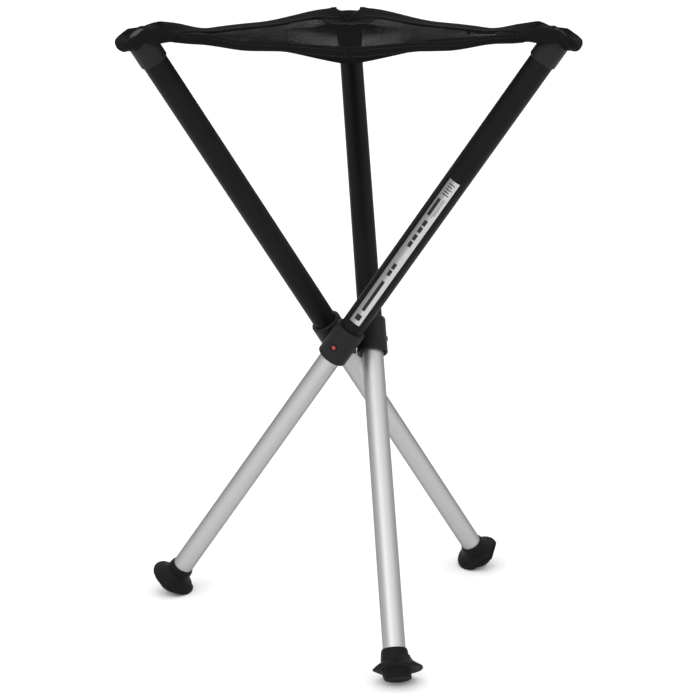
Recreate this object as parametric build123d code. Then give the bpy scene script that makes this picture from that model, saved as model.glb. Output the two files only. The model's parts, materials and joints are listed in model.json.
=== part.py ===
from build123d import *
from math import atan2, cos, degrees, hypot, radians, sin, sqrt, tan
import os

# Three-legged folding camp stool with telescopic legs and a mesh seat. Millimetres, +Z up.
# The origin is on the floor, on the vertical axis through the hub. At rest the legs are open
# and fully extended. Each leg lies along its own axis, which passes its hub pivot at s = 0;
# s grows towards the seat. In a leg's own frame X points away from the hub along the pivot
# pin, Z runs up the leg, and Y points outwards and down at the seat end.

# --- stance ---------------------------------------------------------------------------------
HUB_HEIGHT = 313.2          # pivots above the floor
LEG_TILT = 35.5             # leg from the vertical, open
PIN_REACH = 25.1            # hub axis to each leg's axis
PIN_AZIMUTH = 6.1           # direction of leg 3's pivot pin, from +X
LEG_TURNS = {1: -120, 2: 120, 3: 0}
NEST_HALF_GAP = PIN_REACH * sqrt(3) / 2 - 0.35   # room beside each leg's axis when folded

# --- tubes ----------------------------------------------------------------------------------
UPPER_R = 13.25
UPPER_BORE_R = 12.15
UPPER_BOTTOM = -11.0
UPPER_TOP = 412.0
LOWER_R = 11.8
LOWER_BORE_R = 10.6
LOWER_BOTTOM = -371.0
LOWER_TOP = 48.0
SLIDE_TRAVEL = 326.0        # how far a lower leg pushes up into the upper one

# --- hub ------------------------------------------------------------------------------------
CORE_INRADIUS = 6.6
CORE_HEIGHT = 25.0
CORE_CORNER_R = 1.5
SLEEVE_R = 16.8
SLEEVE_BOTTOM = -16.1
SLEEVE_TOP = 25.0
SLEEVE_TOP_ROUND = 2.4
SLEEVE_BOTTOM_ROUND = 1.0
SLEEVE_BORE_R = UPPER_R + 0.05
LIP_BORE_R = LOWER_R + 0.07
MOUTH_R = SLEEVE_R - 1.8    # the lower mouth flares to this
MOUTH_DEPTH = 3.0
BOSS_R = 8.5
BOSS_FACE = 17.1            # leg axis to the flat that faces the hub core
PIN_R = 3.0
PIN_INNER_END = 2.2         # hub axis to the pin's inner end
PIN_HEAD_R = 5.0
PIN_HEAD_OUTER = 13.55      # leg axis to the head's face
PIN_HEAD_THICK = 1.25
WASHER_R = 7.5
WASHER_THICK = 1.0
PIN_FIT = 0.06              # running clearance of the pin in its sleeve
HEAD_FIT = 0.3              # room around the pin's head

# --- lock button and snap pin ---------------------------------------------------------------
BUTTON_S = 1.0
BUTTON_R = 3.0
BUTTON_PROUD = 0.9
BUTTON_TRAVEL = 1.8
BUTTON_FLANGE_R = 4.0
BUTTON_FLANGE = (14.6, 15.5)
BUTTON_STEM_R = 1.9
BUTTON_STEM_END = 13.95
BUTTON_EDGE_R = 0.8
BUTTON_FIT = 0.08
DISH_R = 4.7                # the shallow dish around the button
DISH_DEPTH = 0.9
SNAP_R = 2.4
SNAP_INNER = 9.9
SPRING_HALF_WIDTH = 3.5
SPRING_THICK = 0.5
SPRING_BEND = -22.0
SPRING_ARM = 30.0
BUSH_BORE_R = 7.0
BUSH_HEAD = 8.0
BUSH_SPIGOT = 14.0

# --- seat end of each leg -------------------------------------------------------------------
COLLAR_R = 14.8
COLLAR_BOTTOM = 382.8
COLLAR_CHAMFER = 0.6
PLUG_TOP = UPPER_TOP + 2.0
PLUG_DEPTH = 16.0
PLUG_WALL = 2.5
PLUG_ROOF = 4.0
POCKET_TOP = 415.0
POCKET_BOTTOM = 402.0
POCKET_R = 22.0
POCKET_SHIFT = 6.0          # the pocket's middle, outwards from the leg's axis
POCKET_ROUND = 5.0
RIVET_HEAD_R = 8.3
RIVET_HEAD_THICK = 1.6
RIVET_STEM_R = 2.4
RIVET_DEPTH = 14.0          # its stem, below the tube's end

# --- seat -----------------------------------------------------------------------------------
CORNER_S = 416.0            # the seat's corners are on the leg axes here
SEAT_START = 30.0           # corner to the first row of mesh, inwards
SEAT_SAG = 37.0             # centre below the corners
EDGE_SAG = 15.0             # middle of each side below the corners
MESH_THICK = 4.0
HEM_THICK = 3.0
HEM_AT_CORNER = (-10.0, 9.0)    # the band's lower and upper edge, above the corner's level
HEM_AT_MIDDLE = (-20.0, -1.0)
SEAT_GAP = 0.6              # half the gap between two seat panels
SEAT_HINGE = (-20.0, 388.0) # where a panel bends from its leg: leg frame's Y and Z
SEAT_FOLD = 45.8            # how far it bends, beyond the leg's own fold

# --- foot: stations along the leg -----------------------------------------------------------
FOOT_RIM = -344.7
FOOT_SOLE = -376.5
FOOT_SHIFT = 1.9            # flange and pad sit this far outwards from the leg's axis
FLANGE_S = -365.1
FLANGE_HALF = 1.5
FLANGE_R = 26.2
FLANGE_TIP_R = 5.0          # roundings of its outline
CHEEK_END_R = 7.0
COLLAR_LINE = [(14.9, -357.0), (14.5, -353.0), (14.1, -349.0), (13.8, -346.9), (13.4, -345.6),
               (12.9, FOOT_RIM)]
FLARE_LINE = [(24.6, -363.7), (22.8, -362.2), (20.4, -360.5), (17.9, -358.8), (16.2, -357.2),
              (15.0, -355.2), (13.6, -352.0)]
PAD_R = 14.0
WEB_R = 16.6                # under the flange; the web narrows to WEB_SOLE_R
WEB_SOLE_R = 12.0
RELIEF_SLOT = (5.0, 1.6, 3.0)
RELIEF_R = 20.0

# --- label ----------------------------------------------------------------------------------
LABEL_SPAN = (37.0, 231.0)
LABEL_ANGLE = 8.0
LABEL_HALF_ANGLE = 28.0
LABEL_THICK = 0.2


def direction(azimuth):
    return Vector(cos(radians(azimuth)), sin(radians(azimuth)), 0)


PIN_AXIS = direction(PIN_AZIMUTH)
SWING = direction(PIN_AZIMUTH + 90)
LEG_AXIS = SWING * sin(radians(LEG_TILT)) + Vector(0, 0, cos(radians(LEG_TILT)))
PIVOT = PIN_AXIS * PIN_REACH + Vector(0, 0, HUB_HEIGHT)
LEG_FRAME = Plane(origin=PIVOT, x_dir=PIN_AXIS, z_dir=LEG_AXIS)

CORNER_REACH = CORNER_S * sin(radians(LEG_TILT))
CORNER_R = hypot(PIN_REACH, CORNER_REACH)
CORNER_AZIMUTH = PIN_AZIMUTH + degrees(atan2(CORNER_REACH, PIN_REACH))
CORNER_Z = HUB_HEIGHT + CORNER_S * cos(radians(LEG_TILT))


def rod(radius, low, high):
    """Cylinder on the leg's axis between two stations."""
    return Pos(0, 0, low) * Cylinder(radius, high - low, align=(Align.CENTER, Align.CENTER, Align.MIN))


def tube(outer, inner, low, high):
    return rod(outer, low, high) - rod(inner, low - 1, high + 1)


def cross_rod(radius, near, far, station=0.0):
    """Cylinder along the leg frame's X, between two distances from the leg's axis."""
    return Pos(near, 0, station) * Rot(0, 90, 0) * Cylinder(
        radius, far - near, align=(Align.CENTER, Align.CENTER, Align.MIN))


def turned(profile):
    """Solid of revolution on the leg's axis from (radius, station) corners."""
    return revolve(Plane.XZ * make_face(Polyline(*profile, close=True)), Axis.Z)


def nest_cell(low, high):
    """The room one leg has beside its two neighbours when the legs are folded together."""
    reach = 60.0
    tip = -NEST_HALF_GAP / cos(radians(30))
    side = (reach - tip) * tan(radians(60))
    wedge = make_face(Polyline((tip, 0), (reach, side), (reach, -side), close=True))
    return Pos(0, 0, low) * extrude(wedge, high - low)


# --- hub ------------------------------------------------------------------------------------

def hub_core():
    corners = [direction(PIN_AZIMUTH + 60 + turn) * 2 * CORE_INRADIUS for turn in (0, 120, 240)]
    outline = make_face(Polyline(*[(c.X, c.Y) for c in corners], close=True))
    outline = fillet(outline.vertices(), CORE_CORNER_R)
    core = Pos(0, 0, HUB_HEIGHT - CORE_HEIGHT / 2) * extrude(outline, CORE_HEIGHT)
    for turn in LEG_TURNS.values():
        bore = LEG_FRAME.location * cross_rod_level(PIN_R + 0.02, PIN_INNER_END - 0.2, 12)
        core -= Rot(0, 0, turn) * bore
    return core


def cross_rod_level(radius, from_hub, to_hub):
    """Cylinder on the pivot axis, between two distances from the hub's axis."""
    return cross_rod(radius, from_hub - PIN_REACH, to_hub - PIN_REACH)


def pivot_pin():
    head_inner = -(PIN_HEAD_OUTER + PIN_HEAD_THICK)
    shank = cross_rod(PIN_R, PIN_INNER_END - PIN_REACH, head_inner)
    return shank + cross_rod(PIN_HEAD_R, head_inner, -PIN_HEAD_OUTER)


def pivot_washer():
    disc = cross_rod_level(WASHER_R, CORE_INRADIUS, CORE_INRADIUS + WASHER_THICK)
    return disc - cross_rod_level(PIN_R + 0.2, CORE_INRADIUS - 1, CORE_INRADIUS + 3)


# --- upper leg ------------------------------------------------------------------------------

def hub_sleeve():
    body = rod(SLEEVE_R, SLEEVE_BOTTOM, SLEEVE_TOP)
    body = fillet(body.edges().sort_by(Axis.Z)[-1], SLEEVE_TOP_ROUND)
    body = fillet(body.edges().sort_by(Axis.Z)[0], SLEEVE_BOTTOM_ROUND)
    body += cross_rod(BOSS_R, -BOSS_FACE, -10)
    body -= rod(SLEEVE_BORE_R, UPPER_BOTTOM, SLEEVE_TOP + 1)
    body -= rod(LIP_BORE_R, SLEEVE_BOTTOM - 1, UPPER_BOTTOM + 1)
    body -= turned([(0, SLEEVE_BOTTOM - 1), (MOUTH_R, SLEEVE_BOTTOM - 1), (MOUTH_R, SLEEVE_BOTTOM),
                    (LIP_BORE_R, SLEEVE_BOTTOM + MOUTH_DEPTH), (0, SLEEVE_BOTTOM + MOUTH_DEPTH)])
    # pivot bore and the pocket that holds the pin's head
    body -= cross_rod(PIN_R + PIN_FIT, -BOSS_FACE - 1, -10)
    body -= cross_rod(PIN_HEAD_R + HEAD_FIT, -(PIN_HEAD_OUTER + PIN_HEAD_THICK + 0.1), -8)
    # button hole, its flange room and the shallow dish around it
    body -= cross_rod(BUTTON_R + BUTTON_FIT, 8, SLEEVE_R + 2, BUTTON_S)
    body -= cross_rod(BUTTON_FLANGE_R + 0.2, 8, BUTTON_FLANGE[1] + 0.05, BUTTON_S)
    body -= cross_rod(DISH_R, SLEEVE_R - DISH_DEPTH, SLEEVE_R + 2, BUTTON_S)
    return body


def upper_tube():
    body = tube(UPPER_R, UPPER_BORE_R, UPPER_BOTTOM, UPPER_TOP)
    return body - cross_rod(BUTTON_FLANGE_R + 0.4, 5, 20, BUTTON_S)


def top_collar():
    body = tube(COLLAR_R, UPPER_R + 0.03, COLLAR_BOTTOM, UPPER_TOP)
    rim = body.edges().filter_by(GeomType.CIRCLE).sort_by(Axis.Z)[:2].sort_by(SortBy.RADIUS)[-1]
    return chamfer(rim, COLLAR_CHAMFER)


def end_plug():
    low = UPPER_TOP - PLUG_DEPTH
    body = rod(COLLAR_R, UPPER_TOP, PLUG_TOP) + rod(UPPER_BORE_R - 0.05, low, UPPER_TOP)
    body -= rod(UPPER_BORE_R - PLUG_WALL, low - 1, UPPER_TOP - PLUG_ROOF)
    return body - rod(RIVET_STEM_R + 0.03, low - 1, PLUG_TOP + 1)


def seat_pocket():
    cap = Pos(0, POCKET_SHIFT, 0) * rod(POCKET_R, POCKET_BOTTOM, POCKET_TOP)
    cap = fillet(cap.edges().filter_by(GeomType.CIRCLE), POCKET_ROUND)
    cap &= nest_cell(POCKET_BOTTOM - 1, POCKET_TOP + 1)
    cap -= rod(COLLAR_R + 0.1, POCKET_BOTTOM - 1, PLUG_TOP)
    return cap - rod(RIVET_STEM_R + 0.05, PLUG_TOP - 1, POCKET_TOP + 1)


def seat_rivet():
    top = POCKET_TOP + RIVET_HEAD_THICK
    head = chamfer(rod(RIVET_HEAD_R, POCKET_TOP, top).edges().sort_by(Axis.Z)[-1], 0.5)
    return head + rod(RIVET_STEM_R, UPPER_TOP - RIVET_DEPTH, POCKET_TOP)


def size_label():
    ring = tube(UPPER_R + LABEL_THICK, UPPER_R + 0.01, *LABEL_SPAN)
    reach = 30.0
    spread = reach * tan(radians(LABEL_HALF_ANGLE))
    wedge = make_face(Polyline((0, 0), (reach, -spread), (reach, spread), close=True))
    wedge = Pos(0, 0, LABEL_SPAN[0] - 1) * extrude(wedge, LABEL_SPAN[1] - LABEL_SPAN[0] + 2)
    return ring & (Rot(0, 0, LABEL_ANGLE) * wedge)


# --- lock -----------------------------------------------------------------------------------

def release_button():
    face = SLEEVE_R + BUTTON_PROUD
    cap = cross_rod(BUTTON_R, BUTTON_FLANGE[1], face, BUTTON_S)
    cap = fillet(cap.edges().sort_by(Axis.X)[-1], BUTTON_EDGE_R)
    cap += cross_rod(BUTTON_FLANGE_R, *BUTTON_FLANGE, BUTTON_S)
    return cap + cross_rod(BUTTON_STEM_R, BUTTON_STEM_END, BUTTON_FLANGE[0], BUTTON_S)


def snap_pin():
    pin = cross_rod(SNAP_R, SNAP_INNER, LOWER_R - 0.1, BUTTON_S)
    return fillet(pin.edges().sort_by(Axis.X)[-1], 0.5)


def leaf_spring():
    inner = SNAP_INNER - SPRING_THICK
    centre = SNAP_INNER - SPRING_THICK / 2
    width = 2 * SPRING_HALF_WIDTH
    arm = Pos(centre, 0, SPRING_BEND) * Box(
        SPRING_THICK, width, SPRING_ARM, align=(Align.CENTER, Align.CENTER, Align.MIN))
    loop = Cylinder(SNAP_INNER, width) - Cylinder(inner, width)
    loop &= Pos(0, -SNAP_INNER, 0) * Box(2 * SNAP_INNER, 2 * SNAP_INNER, width)
    loop = Pos(0, 0, SPRING_BEND) * Rot(90, 0, 0) * loop
    return arm + Pos(-2 * centre, 0, 0) * arm + loop


# --- lower leg ------------------------------------------------------------------------------

def lower_tube():
    body = tube(LOWER_R, LOWER_BORE_R, LOWER_BOTTOM, LOWER_TOP)
    return body - cross_rod(SNAP_R + 0.1, 5, 20, BUTTON_S)


def guide_bush():
    body = rod(UPPER_BORE_R - 0.06, LOWER_TOP, LOWER_TOP + BUSH_HEAD)
    body += rod(LOWER_BORE_R - 0.05, LOWER_TOP - BUSH_SPIGOT, LOWER_TOP)
    return body - rod(BUSH_BORE_R, LOWER_TOP - BUSH_SPIGOT - 1, LOWER_TOP + BUSH_HEAD + 1)


def flange_outline():
    """A disc with two flat cheeks, where the three feet meet when the legs are folded."""
    disc = Pos(FOOT_SHIFT, 0) * Circle(FLANGE_R)
    reach = 60.0
    tip = -(NEST_HALF_GAP - 0.1) / cos(radians(30))
    side = (reach - tip) * tan(radians(60))
    wedge = make_face(Polyline((tip, 0), (reach, side), (reach, -side), close=True))
    wedge = fillet(wedge.vertices().sort_by(Axis.X)[0], FLANGE_TIP_R)
    outline = disc & wedge
    ends = outline.vertices().sort_by(Axis.X)[-2:]
    return fillet(ends, CHEEK_END_R)


def foot():
    outline = flange_outline()
    flange = Pos(0, 0, FLANGE_S - FLANGE_HALF) * extrude(outline, 2 * FLANGE_HALF)
    flange = fillet(flange.edges().filter_by(Plane.XY), FLANGE_HALF - 0.15)
    to_pad = Pos(FOOT_SHIFT, 0, 0)
    flare = to_pad * turned([(0, FLANGE_S), (FLARE_LINE[0][0], FLANGE_S), *FLARE_LINE, (0, FLARE_LINE[-1][1])])
    flare &= Pos(0, 0, FOOT_SOLE) * extrude(offset(outline, -1.6), FOOT_RIM - FOOT_SOLE)
    pad = to_pad * turned([(0, FOOT_SOLE), (PAD_R - 2.0, FOOT_SOLE), (PAD_R - 0.6, FOOT_SOLE + 0.6),
                           (PAD_R, FOOT_SOLE + 2.0), (PAD_R, FLANGE_S), (0, FLANGE_S)])
    web = turned([(0, FOOT_SOLE + 0.4), (WEB_SOLE_R, FOOT_SOLE + 0.4), (WEB_R, FLANGE_S), (0, FLANGE_S)])
    collar = turned([(0, FLANGE_S), (COLLAR_LINE[0][0], FLANGE_S), *COLLAR_LINE, (0, FOOT_RIM)])
    body = flange + flare + pad + web + collar
    body -= rod(LOWER_R + 0.03, LOWER_BOTTOM, FOOT_RIM + 1)
    for angle in (-90, 90):
        slot = Pos(RELIEF_R, 0, FLANGE_S + FLANGE_HALF) * Box(
            *RELIEF_SLOT, align=(Align.CENTER, Align.CENTER, Align.MIN))
        body -= Rot(0, 0, angle) * slot
    return body


# --- seat panels, around the vertical axis --------------------------------------------------

def seat_point(inward, sideways, drop):
    """A point beside the radius from the hub's axis to the reference corner."""
    along = direction(CORNER_AZIMUTH) * (CORNER_R - inward)
    across = direction(CORNER_AZIMUTH + 90) * sideways
    return along + across + Vector(0, 0, CORNER_Z - drop)


def prism(points, depth):
    face = make_face(Polyline(*points, close=True))
    return extrude(face, amount=depth, dir=(0, 0, -1))


def seat_mesh():
    side = SEAT_START * tan(radians(30)) - 3.5
    start_drop = SEAT_SAG * SEAT_START / CORNER_R
    middle_r = CORNER_R / 2 - 3.0
    shift = SEAT_GAP / sin(radians(60))
    start = seat_point(SEAT_START, 0, start_drop)
    centre = seat_point(CORNER_R - shift, 0, SEAT_SAG)
    panel = None
    for hand in (1, -1):
        first = seat_point(SEAT_START, hand * side, start_drop)
        middle = seat_point(CORNER_R - shift - middle_r * cos(radians(60)),
                            hand * middle_r * sin(radians(60)), EDGE_SAG)
        for corners in ((start, first, middle), (start, middle, centre)):
            piece = prism(corners, MESH_THICK)
            panel = piece if panel is None else panel + piece
    return panel


def seat_hem():
    """The two half-bands of webbing that edge one seat panel."""
    start = SEAT_START / cos(radians(30))
    middle = CORNER_R * cos(radians(30)) - SEAT_GAP
    corner = direction(CORNER_AZIMUTH) * CORNER_R + Vector(0, 0, CORNER_Z)
    outline = make_face(Polyline((start, HEM_AT_CORNER[1]), (middle, HEM_AT_MIDDLE[1]),
                                 (middle, HEM_AT_MIDDLE[0]), (start, HEM_AT_CORNER[0]), close=True))
    bands = []
    for hand in (1, -1):
        along = direction(CORNER_AZIMUTH + 180 - hand * 30)
        plane = Plane(origin=corner, x_dir=along, z_dir=along.cross(Vector(0, 0, 1)))
        bands.append(extrude(plane * outline, amount=HEM_THICK / 2, both=True))
    return bands[0] + bands[1]


# --- assembly -------------------------------------------------------------------------------

IN_LEG_FRAME = {
    "pivot_pin": pivot_pin, "pivot_washer": pivot_washer, "hub_sleeve": hub_sleeve,
    "upper_tube": upper_tube, "top_collar": top_collar, "end_plug": end_plug,
    "seat_pocket": seat_pocket, "seat_rivet": seat_rivet, "release_button": release_button,
    "snap_pin": snap_pin, "leaf_spring": leaf_spring, "lower_tube": lower_tube,
    "guide_bush": guide_bush, "foot": foot,
}
IN_WORLD = {"seat_mesh": seat_mesh, "seat_hem": seat_hem}


def grounded(solid):
    """The foot's rubber is flat where it stands on the floor."""
    return solid - Pos(0, 0, -50) * Box(900, 900, 100)


def build():
    parts = {"hub_core": hub_core()}
    reference = {name: LEG_FRAME.location * make() for name, make in IN_LEG_FRAME.items()}
    reference["foot"] = grounded(reference["foot"])
    reference |= {name: make() for name, make in IN_WORLD.items()}
    for number, turn in LEG_TURNS.items():
        for name, solid in reference.items():
            parts[f"{name}_{number}"] = Rot(0, 0, turn) * solid
    parts["size_label"] = Rot(0, 0, LEG_TURNS[1]) * (LEG_FRAME.location * size_label())
    return parts


def main():
    os.makedirs("parts", exist_ok=True)
    for name, solid in build().items():
        export_step(solid, f"parts/{name}.step")


if __name__ == "__main__":
    main()
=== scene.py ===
import json
import math

import bpy
import numpy as np
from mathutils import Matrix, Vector


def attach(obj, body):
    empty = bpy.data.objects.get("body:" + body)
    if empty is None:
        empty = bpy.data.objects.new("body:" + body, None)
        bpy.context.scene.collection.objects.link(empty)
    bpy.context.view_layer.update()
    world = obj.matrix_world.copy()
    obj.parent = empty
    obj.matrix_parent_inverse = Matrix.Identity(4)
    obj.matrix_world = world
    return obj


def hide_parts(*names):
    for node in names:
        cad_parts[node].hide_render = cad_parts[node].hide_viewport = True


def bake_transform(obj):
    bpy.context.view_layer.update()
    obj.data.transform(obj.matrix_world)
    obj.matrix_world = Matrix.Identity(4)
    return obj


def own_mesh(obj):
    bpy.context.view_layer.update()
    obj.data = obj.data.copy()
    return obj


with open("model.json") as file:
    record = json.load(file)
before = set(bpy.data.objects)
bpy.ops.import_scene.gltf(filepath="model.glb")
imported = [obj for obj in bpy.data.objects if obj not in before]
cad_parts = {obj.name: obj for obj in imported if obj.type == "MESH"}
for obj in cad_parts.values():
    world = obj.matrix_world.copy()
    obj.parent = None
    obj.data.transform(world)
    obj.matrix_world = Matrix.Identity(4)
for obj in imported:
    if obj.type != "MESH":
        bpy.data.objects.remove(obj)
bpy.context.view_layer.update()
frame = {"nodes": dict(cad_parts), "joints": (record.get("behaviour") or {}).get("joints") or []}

# A three-legged folding stool: three telescopic legs cross at a hub, and a see-through mesh
# triangle hangs between the leg tops, edged with webbing that ends in a pocket on each leg.
# Everything is in metres. A leg's own directions are o, outwards along its pivot pin; a, up
# along the leg; and v, which points outwards and down at the seat end.

MM = 0.001
LEGS = (1, 2, 3)
BACK = 3

JOINTS = {joint["name"]: joint for joint in frame["joints"]}
CORNER_S = 416 * MM            # along the leg, where the seat's corner sits
PIN_REACH = 25.1 * MM          # from the hub's axis to the leg's own axis

# label, around its tube
LABEL_R = 13.45 * MM
LABEL_MIDDLE = math.radians(8)

# seat pocket, over the leg's end
POCKET_TOP = 415.0 * MM        # the fabric under the rivet's head, along the leg
POCKET_THICK = 1.9 * MM
POCKET_HEM = -9.2 * MM         # its lower edge, above the corner's level
LIP_S = 414.5 * MM             # the fat outer roll's middle, and its height above and below
LIP_UP = 6.5 * MM
LIP_DOWN = 6 * MM
LIP_START = 16 * MM            # outwards from the leg's axis, where the roll starts to close
LIP_REACH = 8 * MM
POCKET_TURN = -16 * MM         # where the pocket leaves the leg's end for the seat
RIVET_ROOM = 8.5 * MM

# seat
EDGE_LEVEL = -10 * MM          # the fabric's height at the corners, from the leg tops
FRONT_SAG = 1.0 * MM           # at the middle of the front side
BACK_RISE = 11.6 * MM          # at the middle of the two other sides
BELLY = 24 * MM                # at the middle of the seat
FRONT_DIP = 5.7 * MM           # beside the front edge's middle
VALLEY_EDGE = 4.4 * MM         # a fold from the front's middle to the seat's middle
VALLEY_MORE = 7.5 * MM         # how much deeper it gets away from the edge
VALLEY_HALF = 62 * MM
RIPPLE = 0.45 * MM             # small folds that fan out from the corners
HEM_BOW = 4 * MM               # how far a side's middle stands in from a straight edge
TAPE = 11.5 * MM               # the edging's width in plan; it stands steeper at the front
FRONT_TAPE = 8.2 * MM
LIFT_WIDE = 23.5 * MM          # the strip that the back sides' edges rise over, in plan
LIFT_NARROWER = 9 * MM
HEM_THICK = 2.2 * MM
STITCH_LENGTH = 3.0 * MM
STITCH_PITCH = 4.2 * MM
STITCH_THICK = 0.3 * MM
STITCH_ROWS = {0.2: 0.67, 0.82: 0.62}   # share across the hem, and height over HEM_THICK
NET_PITCH = 2.7 * MM
NET_HOLE = 0.43 * MM           # inner radius of one opening
NET_THICK = 0.14 * MM
POCKET_END = 34 * MM           # from the corner, inwards, to where the pocket's mouth is
PATCH_END = 84 * MM            # and to where the closed patch ends
SLANT = math.radians(30)       # between a corner's middle line and either of its sides


def smooth(low, high, x):
    t = np.clip((x - low) / (high - low), 0.0, 1.0)
    return t * t * (3 - 2 * t)


def array(v):
    return np.array(v, float)


def unit(v):
    return v / np.linalg.norm(v)


UP = array([0, 0, 1])


# --- legs and seat surface ------------------------------------------------------------------

class Leg:
    """One leg's own directions, read from its joints."""

    def __init__(self, number):
        self.number = number
        fold = JOINTS[f"leg_{number}_fold"]
        self.pivot = array(fold["pos_m"])
        self.o = unit(array(fold["axis"]))
        self.a = unit(array(JOINTS[f"leg_{number}_slide"]["axis"]))
        self.v = np.cross(self.a, self.o)
        self.corner = self.point(CORNER_S)
        self.inward = -unit(array([self.corner[0], self.corner[1], 0.0]))
        self.across = np.cross(UP, self.inward)
        self.side_way = self.across if np.dot(self.across, self.o) > 0 else -self.across

    def point(self, s, v=0.0, o=0.0):
        return self.pivot + self.a * s + self.v * v + self.o * o

    def flat_point(self, inward, sides):
        """Plan positions at a distance inwards from the corner, and at distances to the side."""
        return [self.corner[k] + self.inward[k] * inward + self.across[k] * sides for k in (0, 1)]

    def around(self, radius, angle, s):
        return self.point(s, radius * math.sin(angle), radius * math.cos(angle))


legs = {n: Leg(n) for n in LEGS}
CORNER_XY = {n: legs[n].corner[:2] for n in LEGS}
CORNER_Z = float(legs[1].corner[2])
CORNER_R = float(np.linalg.norm(CORNER_XY[1]))
ALTITUDE = 1.5 * CORNER_R
SIDE = CORNER_R * math.sqrt(3)


def shares(x, y):
    """How much of each corner a point of the triangle holds; the three add up to 1."""
    return {n: 1 / 3 + (2 / 3) * (x * CORNER_XY[n][0] + y * CORNER_XY[n][1]) / CORNER_R ** 2
            for n in LEGS}


def plan(near, far, third, b_near, b_far):
    """The plan position that holds these shares of two corners and the rest of the third."""
    held = {near: b_near, far: b_far, third: 1 - b_near - b_far}
    return [sum(share * CORNER_XY[n][k] for n, share in held.items()) for k in (0, 1)]


def hem_bow(q):
    """How far a side stands in; q runs from -1 at one of its corners to +1 at the other."""
    return HEM_BOW * (1 - q * q)


def hem_run(third):
    """The edging's width on the side that faces the third corner."""
    return FRONT_TAPE if third == BACK else TAPE


def lift_run(third, q):
    """The width of the strip over which the fabric rises to that side's edge."""
    if third == BACK:
        return FRONT_TAPE
    return LIFT_WIDE - LIFT_NARROWER * smooth(0.5, 0.9, abs(q))


def hem_lift(third, q):
    """How far the hem's outer edge stands above the fabric; q is +1 at the higher-numbered
    corner of the side, and the back corner is the highest number."""
    if third == BACK:
        return 7.8 * MM + 1.5 * MM * smooth(0.5, 0.68, abs(q))
    return 15.8 * MM * smooth(0.42, 0.86, -q) + 17.8 * MM * smooth(0.0, 0.95, q)


def front_drop(b):
    """How far the front hangs: a dip beside the edge, and a fold that runs to the middle."""
    inside, aside = b[BACK] * ALTITUDE, (b[2] - b[1]) * SIDE / 2
    dip = FRONT_DIP * smooth(0.72, 0.46, 2 * abs(aside) / SIDE) * smooth(70 * MM, 8 * MM, inside)
    deep = VALLEY_EDGE + VALLEY_MORE * smooth(0, 40 * MM, inside)
    deep = deep * smooth(210 * MM, 130 * MM, inside)
    rounding = 7 * MM
    fold = np.clip(1 - (np.hypot(aside, rounding) - rounding) / VALLEY_HALF, 0, 1)
    return dip + deep * fold


def seat_height(x, y):
    """The fabric's height at a plan position: its sag, the edges that stand up, small folds."""
    b = shares(x, y)
    z = EDGE_LEVEL - 4 * FRONT_SAG * b[1] * b[2] + 4 * BACK_RISE * (b[1] + b[2]) * b[3]
    z = z - BELLY * np.clip(27 * b[1] * b[2] * b[3], 0, 1) ** 1.35 - front_drop(b)
    lift = 0.0 * x
    for third in LEGS:
        low, high = [n for n in LEGS if n != third]
        total = np.maximum(b[low] + b[high], 1e-6)
        q = (b[high] - b[low]) / total
        inside = (b[third] * ALTITUDE - hem_bow(q)) / lift_run(third, q)
        lift = np.maximum(lift, hem_lift(third, q) * np.clip(1 - inside, 0, 1.1) ** 1.15)
    folds = 0.0 * x
    for n in LEGS:
        z = z + 1.5 * MM * smooth(0.86, 0.93, b[n])
        away = np.hypot(x - CORNER_XY[n][0], y - CORNER_XY[n][1])
        turn = np.arctan2(y - CORNER_XY[n][1], x - CORNER_XY[n][0])
        folds = folds + np.sin(turn * 34) * smooth(0.20, 0.06, away) * smooth(0.03, 0.06, away)
    return CORNER_Z + z + lift + RIPPLE * folds


def seat_surface(x, y):
    """Points on the seat and the way that the fabric faces there, upwards."""
    step = 0.4 * MM
    z = seat_height(x, y)
    dx = (seat_height(x + step, y) - seat_height(x - step, y)) / (2 * step)
    dy = (seat_height(x, y + step) - seat_height(x, y - step)) / (2 * step)
    normal = np.stack([-dx, -dy, np.ones_like(dx)], -1)
    normal /= np.linalg.norm(normal, axis=-1, keepdims=True)
    return np.stack([x, y, z], -1), normal


# --- mesh helpers ---------------------------------------------------------------------------

def make_object(name, verts, faces, mat, smooth_faces=True):
    mesh = bpy.data.meshes.new(name)
    mesh.from_pydata([tuple(map(float, p)) for p in verts], [],
                     [tuple(map(int, f)) for f in faces])
    mesh.validate()
    mesh.update()
    if smooth_faces:
        mesh.polygons.foreach_set("use_smooth", [True] * len(mesh.polygons))
    piece = bpy.data.objects.new(name, mesh)
    bpy.context.scene.collection.objects.link(piece)
    piece.data.materials.append(mat)
    return piece


def grid_faces(rows, columns, closed_columns=False):
    faces = []
    for i in range(rows - 1):
        for j in range(columns if closed_columns else columns - 1):
            here, beyond, j2 = i * columns, (i + 1) * columns, (j + 1) % columns
            faces.append((here + j, beyond + j, beyond + j2, here + j2))
    return faces


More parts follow.
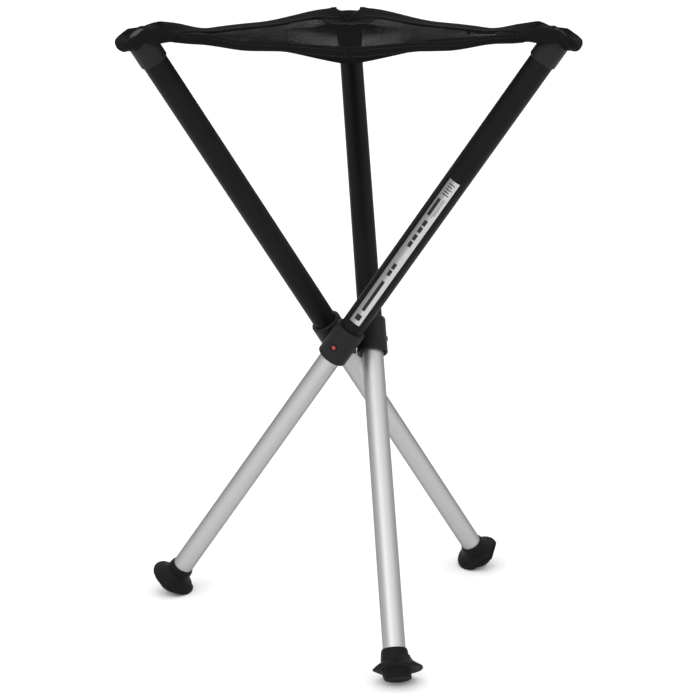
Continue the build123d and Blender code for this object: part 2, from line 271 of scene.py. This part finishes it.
class Builder:
    """Collects the vertices and faces of several parts into one mesh."""

    def __init__(self):
        self.verts, self.faces = [], []

    def add(self, verts, faces):
        start = len(self.verts)
        self.verts.extend(verts)
        self.faces.extend(tuple(start + k for k in f) for f in faces)

    def loft(self, sections):
        """Closed rings of equal length, joined one to the next and capped at both ends."""
        rows, columns = len(sections), len(sections[0])
        faces = grid_faces(rows, columns, closed_columns=True)
        faces.append(tuple(range(columns)))
        faces.append(tuple(reversed(range((rows - 1) * columns, rows * columns))))
        self.add([p for ring in sections for p in ring], faces)

    def slab(self, points, normals, thickness, faces):
        """A sheet given a thickness, with walls on every free edge."""
        half = normals * thickness / 2
        count = len(points)
        verts = list(points + half) + list(points - half)
        used = {(f[k], f[(k + 1) % len(f)]): True for f in faces for k in range(len(f))}
        out = [tuple(f) for f in faces] + [tuple(count + k for k in reversed(f)) for f in faces]
        for first, second in used:
            if (second, first) not in used:
                out.append((second, first, count + first, count + second))
        self.add(verts, out)

    def object(self, name, mat, smooth_faces=True):
        return make_object(name, self.verts, self.faces, mat, smooth_faces)


def finish_piece(piece, body):
    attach(piece, body)


# --- materials ------------------------------------------------------------------------------

class Shader:
    """A principled material and short ways to wire procedural detail into it."""

    def __init__(self, name, roughness, metallic=0.0, specular=0.5, sheen=0.0):
        self.material = bpy.data.materials.new(name)
        self.material.use_nodes = True
        self.tree = self.material.node_tree
        self.bsdf = self.tree.nodes["Principled BSDF"]
        self.bsdf.inputs["Roughness"].default_value = roughness
        self.bsdf.inputs["Metallic"].default_value = metallic
        self.bsdf.inputs["Specular IOR Level"].default_value = specular
        if sheen:
            self.bsdf.inputs["Sheen Weight"].default_value = sheen
            self.bsdf.inputs["Sheen Roughness"].default_value = 0.45
        self.coords = self.node("ShaderNodeTexCoord").outputs["Object"]

    def node(self, kind, **values):
        made = self.tree.nodes.new(kind)
        for key, value in values.items():
            setattr(made, key, value)
        return made

    def link(self, output, target):
        self.tree.links.new(output, target)

    def mapped(self, scale, rotation):
        mapping = self.node("ShaderNodeMapping")
        mapping.inputs["Scale"].default_value = scale
        mapping.inputs["Rotation"].default_value = rotation
        self.link(self.coords, mapping.inputs["Vector"])
        return mapping.outputs["Vector"]

    def noise(self, scale, detail=4.0, vector=None):
        made = self.node("ShaderNodeTexNoise")
        made.inputs["Scale"].default_value = scale
        made.inputs["Detail"].default_value = detail
        self.link(vector or self.coords, made.inputs["Vector"])
        return made.outputs["Fac"]

    def wave(self, scale, direction, distortion=0.0):
        made = self.node("ShaderNodeTexWave", bands_direction=direction)
        made.inputs["Scale"].default_value = scale
        made.inputs["Distortion"].default_value = distortion
        self.link(self.coords, made.inputs["Vector"])
        return made.outputs["Fac"]

    def math(self, operation, first, second):
        made = self.node("ShaderNodeMath", operation=operation)
        for socket, value in zip(made.inputs, (first, second)):
            if isinstance(value, (int, float)):
                socket.default_value = value
            else:
                self.link(value, socket)
        return made.outputs[0]

    def vector(self, operation, first, second, output="Vector"):
        made = self.node("ShaderNodeVectorMath", operation=operation)
        self.link(first, made.inputs[0])
        made.inputs[1].default_value = tuple(second)
        return made.outputs[output]

    def colours(self, factor, stops):
        """Base colour along a ramp; each stop is a place and a colour."""
        ramp = self.node("ShaderNodeValToRGB")
        elements = ramp.color_ramp.elements
        while len(elements) < len(stops):
            elements.new(0.5)
        for element, (position, colour) in zip(elements, stops):
            element.position = position
            element.color = (*colour, 1.0)
        self.link(factor, ramp.inputs["Fac"])
        self.link(ramp.outputs["Color"], self.bsdf.inputs["Base Color"])

    def rough(self, factor, low, high):
        """Roughness that varies from low to high with the factor."""
        spread = self.node("ShaderNodeMapRange")
        spread.inputs["To Min"].default_value = low
        spread.inputs["To Max"].default_value = high
        self.link(factor, spread.inputs["Value"])
        self.link(spread.outputs["Result"], self.bsdf.inputs["Roughness"])

    def bump(self, height, strength, distance):
        made = self.node("ShaderNodeBump")
        made.inputs["Strength"].default_value = strength
        made.inputs["Distance"].default_value = distance
        self.link(height, made.inputs["Height"])
        self.link(made.outputs["Normal"], self.bsdf.inputs["Normal"])


def grey(value, tint=1.0):
    return (value, value, value * tint)


def along_leg(number):
    """The rotation that brings a leg's own axis onto Z."""
    a = Vector(legs[number].a)
    return a.rotation_difference(Vector((0, 0, 1))).to_euler()


def black_tube_material():
    s = Shader("black_tube", 0.5, specular=0.10)
    patches = s.noise(14, 3)
    grain = s.noise(2600, 2)
    s.colours(patches, [(0.3, grey(0.0035, 1.04)), (0.7, grey(0.0055, 1.04))])
    s.rough(s.noise(420, 5), 0.44, 0.56)
    s.bump(grain, 0.25, 0.00004)
    return s.material


def silver_tube_material(number):
    s = Shader(f"silver_tube_{number}", 0.46, metallic=1.0)
    brushed = s.noise(60, 6, s.mapped((60, 60, 0.8), along_leg(number)))
    tint = 1.005
    # painted shade: sheen, made from the Layer Weight facing plus brushing noise, makes the base
    # colour pale where the tube faces the view and dark towards its edges, in place of darker
    # surroundings reflected there
    painted_edge_shade = s.node("ShaderNodeLayerWeight")
    painted_edge_shade.inputs["Blend"].default_value = 0.5
    sheen = s.math("ADD", painted_edge_shade.outputs["Facing"], s.math("MULTIPLY", brushed, 0.12))
    s.colours(sheen, [(0.0, grey(0.50, tint)), (0.45, grey(0.43, tint)),
                      (0.75, grey(0.27, tint)), (1.0, grey(0.17, tint))])
    s.rough(brushed, 0.42, 0.54)
    s.bump(brushed, 0.12, 0.00004)
    return s.material


def plastic_material(name, low, high, roughness):
    s = Shader(name, roughness, specular=0.18)
    s.colours(s.noise(25, 4), [(0.3, low), (0.7, high)])
    s.rough(s.noise(300, 5), roughness - 0.06, roughness + 0.08)
    s.bump(s.noise(1500, 3), 0.35, 0.00008)
    return s.material


def rubber_material():
    s = Shader("foot_rubber", 0.62, specular=0.12)
    s.colours(s.noise(60, 6), [(0.3, grey(0.0035)), (0.75, grey(0.0065))])
    s.rough(s.noise(180, 4), 0.5, 0.72)
    s.bump(s.noise(900, 5), 0.4, 0.00012)
    return s.material


def net_material():
    s = Shader("seat_mesh", 0.9, specular=0.0)
    s.colours(s.noise(900, 3), [(0.3, grey(0.005)), (0.7, grey(0.011))])
    threads = s.math("MULTIPLY", s.wave(700, "X"), s.wave(700, "Y"))
    s.bump(threads, 0.35, 0.0001)
    return s.material


def webbing_material():
    s = Shader("seat_webbing", 0.85, specular=0.05)
    weave = s.math("MAXIMUM", s.wave(330, "X", distortion=0.6), s.wave(330, "Y", distortion=0.6))
    weave = s.math("ADD", weave, s.wave(330, "Z", distortion=0.6))
    s.colours(s.noise(1200, 4), [(0.3, grey(0.0045)), (0.75, grey(0.0085))])
    s.rough(weave, 0.6, 0.8)
    s.bump(weave, 0.35, 0.00018)
    return s.material


def thread_material():
    s = Shader("seat_thread", 0.6, specular=0.25, sheen=0.05)
    s.colours(s.noise(2500, 2), [(0.3, grey(0.010)), (0.7, grey(0.018))])
    s.bump(s.wave(2500, "DIAGONAL"), 0.4, 0.00005)
    return s.material


def metal_material(name, low, high, roughness):
    s = Shader(name, roughness, metallic=1.0)
    s.colours(s.noise(350, 5), [(0.3, low), (0.7, high)])
    s.rough(s.noise(500, 5), roughness - 0.08, roughness + 0.1)
    s.bump(s.noise(1800, 3), 0.2, 0.00005)
    return s.material


def button_material(number, centre):
    """Red, paler in its middle, with painted shade that darkens it around its edge, as in the
    shadow of its recess.
    """
    ramp_radius = 4 * MM
    s = Shader(f"red_button_{number}", 0.42, specular=0.18)
    off = s.vector("SUBTRACT", s.coords, centre)
    off = s.vector("CROSS_PRODUCT", off, legs[number].o)
    away = s.math("DIVIDE", s.vector("LENGTH", off, (0, 0, 0), "Value"), ramp_radius)
    away = s.math("ADD", away, s.math("MULTIPLY", s.noise(1500, 3), 0.05))
    # painted shade: the dark outer stops stand for the shadow of the dished recess around the
    # button
    s.colours(away, [(0.25, (0.36, 0.07, 0.075)), (0.5, (0.30, 0.022, 0.024)),
                     (0.62, (0.05, 0.006, 0.007)), (0.8, (0.025, 0.004, 0.004))])
    return s.material


def label_material():
    """Satin foil with painted shade: darker to one side of the strip and pale to the other, as
    light falls across the tube.
    """
    leg, strip, tint = legs[1], 14 * MM, 1.01
    s = Shader("label_silver", 0.34, metallic=0.55)
    # painted shade across the strip: the colour follows the position across the label, dark on one
    # side and pale on the other
    across = leg.v * math.cos(LABEL_MIDDLE) - leg.o * math.sin(LABEL_MIDDLE)
    off = s.vector("SUBTRACT", s.coords, leg.pivot)
    side = s.math("DIVIDE", s.vector("DOT_PRODUCT", off, across, "Value"), strip)
    side = s.math("ADD", side, s.math("MULTIPLY", s.noise(240, 5), 0.08))
    side = s.math("ADD", side, 0.46)
    s.colours(side, [(0.05, grey(0.19, tint)), (0.42, grey(0.24, tint)),
                     (0.62, grey(0.45, tint)), (0.9, grey(0.48, tint))])
    s.rough(s.noise(700, 4), 0.28, 0.42)
    s.bump(s.noise(2200, 3), 0.15, 0.00003)
    return s.material


MATERIALS = {
    "black_tube": black_tube_material(),
    "black_plastic": plastic_material("black_plastic", grey(0.0065, 1.03), grey(0.010, 1.03), 0.5),
    "nylon": plastic_material("nylon", (0.62, 0.61, 0.57), (0.7, 0.69, 0.65), 0.5),
    "foot_rubber": rubber_material(),
    "seat_mesh": net_material(),
    "seat_webbing": webbing_material(),
    "seat_thread": thread_material(),
    "rivet_grey": plastic_material("rivet_grey", grey(0.022), grey(0.032), 0.45),
    "steel": metal_material("steel", grey(0.5), grey(0.62), 0.32),
    "label_silver": label_material(),
    "label_ink": plastic_material("label_ink", grey(0.01), grey(0.018), 0.5),
}
NODE_MATERIALS = {
    "hub_core": "black_plastic", "pivot_pin": "steel", "pivot_washer": "nylon",
    "hub_sleeve": "black_plastic", "upper_tube": "black_tube", "top_collar": "black_plastic",
    "end_plug": "black_plastic", "seat_rivet": "rivet_grey",
    "snap_pin": "steel", "leaf_spring": "steel", "guide_bush": "nylon",
    "foot": "foot_rubber", "size_label": "label_silver",
}


def dress_cad_nodes():
    for name, node in frame["nodes"].items():
        kind = name[:-2] if name[-1].isdigit() else name
        if kind == "lower_tube":
            mat = silver_tube_material(int(name[-1]))
        elif kind == "release_button":
            spots = array([v.co for v in node.data.vertices])
            mat = button_material(int(name[-1]), (spots.min(0) + spots.max(0)) / 2)
        elif kind in NODE_MATERIALS:
            mat = MATERIALS[NODE_MATERIALS[kind]]
        else:
            continue
        node.data.materials.clear()
        node.data.materials.append(mat)


# --- seat -----------------------------------------------------------------------------------

def net_cells(n):
    """Centres of the net's cells that hang from corner n, and which of them are open: those
    inside the folded webbing or under the corner's patch are closed."""
    row_step = NET_PITCH * math.sqrt(3) / 2
    reach = CORNER_R * 1.05
    rows = int(reach / row_step)
    columns = int(reach / NET_PITCH) + 1
    centres = array([((column + 0.5 * (row % 2)) * NET_PITCH, row * row_step)
                     for row in range(-rows, rows + 1)
                     for column in range(-columns, columns + 1)])
    b = shares(centres[:, 0], centres[:, 1])
    keep = b[n] < 1 - (POCKET_END - 2 * MM) / ALTITUDE
    opened = b[n] < 1 - (PATCH_END - 5 * MM) / ALTITUDE
    for other in LEGS:
        if other != n:
            keep &= (b[n] > b[other]) | ((b[n] == b[other]) & (n < other))
        low, high = [k for k in LEGS if k != other]
        q = (b[high] - b[low]) / np.maximum(b[low] + b[high], 1e-6)
        keep &= b[other] * ALTITUDE > hem_bow(q) + 2.6 * MM
        opened &= b[other] * ALTITUDE > hem_bow(q) + hem_run(other) - 3 * MM
    return centres[keep], opened[keep]


def seat_net(n):
    """An open knitted mesh: six-sided cells, each with a rounded opening."""
    corners = 6
    widening = 1.08                # the opening is drawn to its corners
    angle = np.arange(corners) * math.pi / 3 + math.pi / 6
    ring = np.stack([np.cos(angle), np.sin(angle)], -1)
    outer = ring * NET_PITCH / math.sqrt(3)
    hole = ring * NET_HOLE * widening
    centres, opened = net_cells(n)
    flat = (centres[:, None, :] + np.concatenate([outer, hole])[None]).reshape(-1, 2)
    grain = 0.02 * MM              # corners of neighbouring cells closer than this are one
    keys = np.round(flat / grain).astype(int)
    _, first, index = np.unique(keys, axis=0, return_index=True, return_inverse=True)
    flat, index = flat[first], index.reshape(len(centres), 2 * corners)
    faces = []
    for cell, is_open in zip(index, opened):
        if not is_open:
            faces.append(tuple(cell[:corners]))
            continue
        for k in range(corners):
            m = (k + 1) % corners
            faces.append((cell[k], cell[m], cell[corners + m], cell[corners + k]))
    points, normals = seat_surface(flat[:, 0], flat[:, 1])
    built = Builder()
    built.slab(points, normals, NET_THICK, faces)
    return built.object(f"seat_net_{n}", MATERIALS["seat_mesh"], smooth_faces=False)


def hem_plan(n, other, q, w):
    """The plan position at share w across the hem, q being +1 at corner n."""
    third = 6 - n - other
    inside = (hem_bow(q) + w * hem_run(third)) / ALTITUDE
    return plan(n, other, third, (1 - inside) * (1 + q) / 2, (1 - inside) * (1 - q) / 2)


HEM_START = 1 - 2 * (POCKET_END - 6 * MM) / math.cos(SLANT) / SIDE   # inside the pocket


def hem_section():
    """Around the folded webbing: the share across it, and the height over HEM_THICK."""
    across = [0.0, 0.02, 0.07, 0.13, 0.3, 0.5, 0.7, 0.87, 0.95, 0.985, 1.0]
    height = [0.0, 0.55, 0.85, 0.72, 0.6, 0.56, 0.6, 0.62, 0.55, 0.38, 0.0]
    top = list(zip(across, height))
    bottom = [(w, -h) for w, h in reversed(top[1:-1])]
    return top + bottom


def seat_edging(n):
    """The folded webbing along the two half sides that meet at corner n."""
    built = Builder()
    across, height = array(hem_section()).T
    for other in LEGS:
        if other == n:
            continue
        rings = []
        for q in np.linspace(HEM_START, 0.0, 64):
            points, normals = seat_surface(*hem_plan(n, other, q, across))
            rings.append(list(points + normals * (height * HEM_THICK)[:, None]))
        if other != (n % 3) + 1:
            rings.reverse()
        built.loft(rings)
    return built.object(f"seat_edging_{n}", MATERIALS["seat_webbing"])


def stitch(built, ends, normal):
    """One short rounded thread lying on the fabric."""
    start, end = ends
    thick = STITCH_THICK
    along = end - start
    side = np.cross(normal, along)
    side = side / np.linalg.norm(side) * thick
    up = normal * thick
    rings = []
    for t, size in ((0.0, 0.35), (0.15, 0.85), (0.5, 1.0), (0.85, 0.85), (1.0, 0.35)):
        centre = start + along * t - normal * thick * (1 - size)
        turns = [k * math.pi / 3 for k in range(6)]
        rings.append([centre + (side * math.cos(a) + up * math.sin(a)) * size for a in turns])
    built.loft(rings)


def patch_half_width(inward):
    return (inward * 0.5 - 6 * MM) / math.cos(SLANT)


def seat_stitching(n):
    """Two rows of stitches along each hem, on both faces, and two across the corner's patch."""
    built = Builder()
    step = 2 * STITCH_PITCH / SIDE
    for other in LEGS:
        if other == n:
            continue
        for w, height in STITCH_ROWS.items():
            q = HEM_START - step
            while q > step / 2:
                ends = array([q, q - 2 * STITCH_LENGTH / SIDE])
                points, normals = seat_surface(*hem_plan(n, other, ends, w))
                for face in (1, -1):
                    stitch(built, points + normals * height * HEM_THICK * face, normals[0] * face)
                q -= step
    for inward in (PATCH_END - 3 * MM, PATCH_END - 8 * MM):
        half = patch_half_width(inward) * 0.97
        for k in range(int(2 * half / STITCH_PITCH)):
            first = -half + k * STITCH_PITCH
            ends = array([first, first + STITCH_LENGTH])
            points, normals = seat_surface(*legs[n].flat_point(inward, ends))
            stitch(built, points + normals * 0.75 * MM, normals[0])
    return built.object(f"seat_stitching_{n}", MATERIALS["seat_thread"])


def seat_patch(n):
    """The closed fabric that strengthens the seat's corner."""
    rows, columns = 30, 25
    start = POCKET_END - 7 * MM
    points = []
    for i in range(rows):
        inward = start + (PATCH_END - start) * i / (rows - 1)
        sides = np.linspace(-1, 1, columns) * max(patch_half_width(inward), 3 * MM)
        points.append(np.stack(legs[n].flat_point(inward, sides), -1))
    flat = np.concatenate(points)
    surface, normals = seat_surface(flat[:, 0], flat[:, 1])
    built = Builder()
    built.slab(surface + normals * 0.1 * MM, normals, 1.2 * MM, grid_faces(rows, columns))
    return built.object(f"seat_patch_{n}", MATERIALS["seat_webbing"])


def through(knots, count):
    """A smooth curve through the knots, with count points to each span."""
    padded = [2 * knots[0] - knots[1], *knots, 2 * knots[-1] - knots[-2]]
    out = []
    for before, first, last, after in zip(padded, padded[1:], padded[2:], padded[3:]):
        for t in np.arange(count) / count:
            square = 2 * before - 5 * first + 4 * last - after
            cube = 3 * first - before - 3 * last + after
            out.append(first + 0.5 * t * (last - before + t * square + t * t * cube))
    out.append(knots[-1])
    return array(out)


def pocket_half_width(v):
    """The pocket's outline over the leg's end, which reaches furthest outwards."""
    angles = np.linspace(0, math.pi / 2, 90)
    reach = 17.5 * MM + 6.5 * MM * smooth(-0.1, 0.8, np.cos(angles))
    return float(np.interp(v, (reach * np.cos(angles))[::-1], (reach * np.sin(angles))[::-1]))


def pocket_cover(o, v):
    """Station of the pocket's top over the leg's end; its rim stands up on the outer side."""
    inner_rise = 1.5 * MM
    away = math.hypot(o, v)
    outwards = v / max(away, 1e-6)
    rim = LIP_S + LIP_UP - POCKET_TOP - inner_rise
    rise = inner_rise + rim * smooth(-0.6, 0.0, outwards)
    return POCKET_TOP + rise * smooth(RIVET_ROOM, 15 * MM, away)


def pocket_ring(leg, v):
    """Knots around the pocket where it covers the leg's end, from one lower edge to the other."""
    half = pocket_half_width(v)
    closing = math.sqrt(max(1 - (max(v - LIP_START, 0.0) / LIP_REACH) ** 2, 0.0))
    in_lip = float(smooth(-8 * MM, 15 * MM, v))
    lip_top = LIP_S + LIP_UP * closing
    fall = 3.8 * MM * float(smooth(-11.5 * MM, -17 * MM, v))
    room = PIN_REACH + 1.5 * MM - abs(v) / math.sqrt(3)     # beside the other pockets, folded

    def top_at(o):
        return min(pocket_cover(o, v), lip_top)

    knots = {}
    for hand in (1, -1):
        wide = half if hand > 0 else min(half, room)
        top = top_at(0.85 * wide) - 5.2 * MM * float(smooth(-6 * MM, -16 * MM, v))
        shoulder = leg.point(top, v, hand * 0.82 * wide)
        edge = leg.point(top - 1.5 * MM * closing, v, hand * wide)
        hung = leg.point(top, v, hand * 0.97 * wide)
        hung = hung - array([0, 0, hung[2] - CORNER_Z - POCKET_HEM])
        rolled = leg.point(LIP_S - LIP_DOWN * closing, v, hand * 0.8 * wide)
        lower = hung * (1 - in_lip) + rolled * in_lip
        side = 0.5 * (edge + lower) + leg.o * hand * 0.07 * wide * in_lip
        lower = lower - leg.o * hand * 0.78 * wide * float(smooth(16.5 * MM, 18.5 * MM, v))
        beside = min(RIVET_ROOM + 0.7 * MM, 0.5 * wide)
        inner = leg.point(top_at(beside) - fall, v, hand * beside)
        knots[hand] = (inner, shoulder, side, lower)
    middle = leg.point(top_at(0.0) - 0.7 * fall, v)
    return [*reversed(knots[-1]), middle, *knots[1]]


def pocket_mouth(leg):
    """Knots around the pocket's mouth, where it wraps the seat's two edgings."""
    middle = leg.corner + leg.inward * POCKET_END
    middle[2] = seat_height(middle[0], middle[1]) + 1.7 * MM
    knots = {}
    for hand in (1, -1):
        side = leg.side_way * hand
        others = [k for k in LEGS if k != leg.number]
        other = max(others, key=lambda k: float(np.dot(legs[k].corner, side)))
        x, y = hem_plan(leg.number, other, 1 - 2 * POCKET_END / ALTITUDE, 0.0)
        crest = array([x, y, float(seat_height(x, y))])
        out = side * math.cos(SLANT) - leg.inward * math.sin(SLANT)
        over = crest + out * 1.0 * MM + UP * 0.6 * MM
        outer = crest + out * 1.5 * MM
        outer[2] = CORNER_Z - 3 * MM
        lower = leg.corner + leg.inward * POCKET_END + side * 11.6 * MM - UP * 8.2 * MM
        knots[hand] = (0.5 * (crest + middle), over, outer, lower)
    return [*reversed(knots[-1]), middle, *knots[1]]


def pocket_rings(leg):
    """Rings of points from the pocket's lip, over the leg's end, to its mouth at the hems; also
    how many of them belong to the lip."""
    span = 8
    lip = [LIP_START + LIP_REACH * math.cos(math.radians(turn)) for turn in range(12, 90, 8)]
    cover = list(np.linspace(LIP_START, POCKET_TURN, 17))
    rings = [through(pocket_ring(leg, v), span) for v in lip + cover]
    start, mouth = rings[-1], through(pocket_mouth(leg), span)
    share = np.linspace(-1, 1, len(start))[:, None]
    rise = smooth(0.9, 0.5, np.abs(share)) * 10 * MM
    leave = leg.inward * 16 * MM + rise * UP
    spread = np.clip(share * 2, -1, 1)
    arrive = leg.inward * math.cos(SLANT) + leg.side_way * spread * math.sin(SLANT)
    arrive = arrive * 20 * MM
    for t in np.linspace(0, 1, 19)[1:]:
        rings.append((2 * t ** 3 - 3 * t ** 2 + 1) * start + (t ** 3 - 2 * t ** 2 + t) * leave
                     + (3 * t ** 2 - 2 * t ** 3) * mouth + (t ** 3 - t ** 2) * arrive)
    return array(rings), len(lip)


def seat_corner(n):
    """The pocket of folded webbing that caps the leg's end and leads into the two hems."""
    leg = legs[n]
    grid, lip_rows = pocket_rings(leg)
    along, around = np.gradient(grid, axis=0), np.gradient(grid, axis=1)
    normals = np.cross(along, around)
    normals /= np.linalg.norm(normals, axis=-1, keepdims=True)
    faces = [tuple(reversed(f)) for f in grid_faces(*grid.shape[:2])]
    for column, swell in enumerate((0.2, 0.7, 0.8, 0.5, 0.1)):      # mm, over the lower edges
        for edge in (column, -1 - column):
            grid[lip_rows:, edge] += normals[lip_rows:, edge] * swell * MM
    row = np.repeat(np.arange(grid.shape[0]), grid.shape[1])[:, None]
    thick = POCKET_THICK * (0.2 + 0.8 * smooth(0, 7, row))
    points, normals = grid.reshape(-1, 3), normals.reshape(-1, 3)
    built = Builder()
    built.slab(points - normals * thick / 2, normals, thick, faces)
    piece = built.object(f"seat_corner_{n}", MATERIALS["seat_webbing"])
    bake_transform(piece)
    return piece


def build_seat(n):
    leg = legs[n]
    net = seat_net(n)
    edging = seat_edging(n)
    patch = seat_patch(n)
    stitching = seat_stitching(n)
    corner = seat_corner(n)
    hinge = array(JOINTS[f"seat_{n}_fold"]["pos_m"])
    for piece in (net, edging, patch, stitching):
        finish_piece(piece, f"seat_{n}")
        tuple(leg.o)
        tuple(hinge)
        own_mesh(piece)
    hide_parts(f"seat_mesh_{n}")
    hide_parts(f"seat_hem_{n}")
    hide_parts(f"seat_pocket_{n}")


# --- label ----------------------------------------------------------------------------------

def print_mark(built, leg, s_range, angle_range):
    """A thin printed shape that follows the label's curve, from and to millimetres along the
    leg, and from and to degrees around it from the label's middle."""
    rows, columns = 12, 9
    thick, clear = 0.04 * MM, 0.02 * MM
    points, normals = [], []
    for i in range(rows):
        s = (s_range[0] + (s_range[1] - s_range[0]) * i / (rows - 1)) * MM
        for j in range(columns):
            turn = angle_range[0] + (angle_range[1] - angle_range[0]) * j / (columns - 1)
            angle = LABEL_MIDDLE + math.radians(turn)
            points.append(leg.around(LABEL_R + thick / 2 + clear, angle, s))
            normals.append(unit(points[-1] - leg.point(s)))
    faces = [tuple(reversed(f)) for f in grid_faces(rows, columns)]
    built.slab(array(points), array(normals), thick, faces)


def label_print():
    """Plain bars and lines, as on any printed size label."""
    leg = legs[1]
    built = Builder()
    print_mark(built, leg, (42, 49), (-13, 13))
    print_mark(built, leg, (55, 96), (-9, 7))
    for start in (104, 113, 144, 153, 163, 172):
        print_mark(built, leg, (start, start + 7), (-10, 7))
    print_mark(built, leg, (185, 207), (-19, -4))
    for line in range(2):
        angle = 6 + 6 * line
        print_mark(built, leg, (184 + 3 * line, 208), (angle, angle + 2))
    for line in range(5):
        s = 213 + 3.2 * line
        print_mark(built, leg, (s, s + 1.1), (-16, 15 - 6 * (line % 2)))
    piece = built.object("label_print", MATERIALS["label_ink"])
    finish_piece(piece, "leg_1")


# --- stage ----------------------------------------------------------------------------------

def make_camera():
    """It stands in front of the stool, somewhat above the hub, and looks slightly down."""
    back, above_hub, down = 1.9498, 0.4409, math.radians(13.04)
    turn, roll = math.radians(-0.04), math.radians(0.03)
    data = bpy.data.cameras.new("camera")
    data.lens = 93.75
    data.sensor_width = 36
    data.clip_end = 200
    camera = bpy.data.objects.new("camera", data)
    camera.location = (0.0, -back, legs[1].pivot[2] + above_hub)
    camera.rotation_euler = (math.radians(90) - down, roll, turn)
    bpy.context.scene.collection.objects.link(camera)
    bpy.context.scene.camera = camera


def softbox(name, place, size, power):
    target = (0, 0, 0.35)          # the middle of the stool
    data = bpy.data.lights.new(name, "AREA")
    data.shape = "RECTANGLE"
    data.size, data.size_y = size
    data.energy = power
    light = bpy.data.objects.new(name, data)
    light.location = place
    light.rotation_euler = (Vector(target) - Vector(place)).to_track_quat("-Z", "Y").to_euler()
    bpy.context.scene.collection.objects.link(light)


def studio_world():
    """Soft light from above and from the front, dimmer from the sides and the back."""
    world = bpy.data.worlds.new("studio")
    world.use_nodes = True
    tree = world.node_tree

    def node(kind, **values):
        made = tree.nodes.new(kind)
        for key, value in values.items():
            setattr(made, key, value)
        return made

    def ranged(source, low, high, bottom, top):
        made = node("ShaderNodeMapRange", interpolation_type="SMOOTHSTEP")
        values = {"From Min": low, "From Max": high, "To Min": bottom, "To Max": top}
        for socket, value in values.items():
            made.inputs[socket].default_value = value
        tree.links.new(source, made.inputs["Value"])
        return made.outputs["Result"]

    way = node("ShaderNodeSeparateXYZ")
    tree.links.new(node("ShaderNodeTexCoord").outputs["Generated"], way.inputs["Vector"])
    total = node("ShaderNodeMath", operation="ADD")
    tree.links.new(ranged(way.outputs["Y"], 0.3, -0.95, 0.5, 1.0), total.inputs[0])
    tree.links.new(ranged(way.outputs["Z"], 0.1, 0.9, 0.0, 0.85), total.inputs[1])
    tree.nodes["Background"].inputs["Color"].default_value = (1, 1, 1, 1)
    tree.links.new(total.outputs[0], tree.nodes["Background"].inputs["Strength"])
    return world


def make_stage():
    size = 60.0                    # half the floor's side
    mat = Shader("floor", 0.9, specular=0.0)
    mat.colours(mat.noise(0.6, 2), [(0.3, (0.93, 0.93, 0.93)), (0.7, (0.95, 0.95, 0.95))])
    corners = [(-size, -size, 0), (size, -size, 0), (size, size, 0), (-size, size, 0)]
    floor = make_object("floor", corners, [(0, 1, 2, 3)], mat.material)
    bpy.context.scene.world = studio_world()
    bpy.context.scene.view_settings.view_transform = "Standard"
    softbox("key", (-1.2, -2.2, 1.8), (1.6, 1.6), 14)


dress_cad_nodes()
for n in LEGS:
    build_seat(n)
label_print()
make_camera()
make_stage()
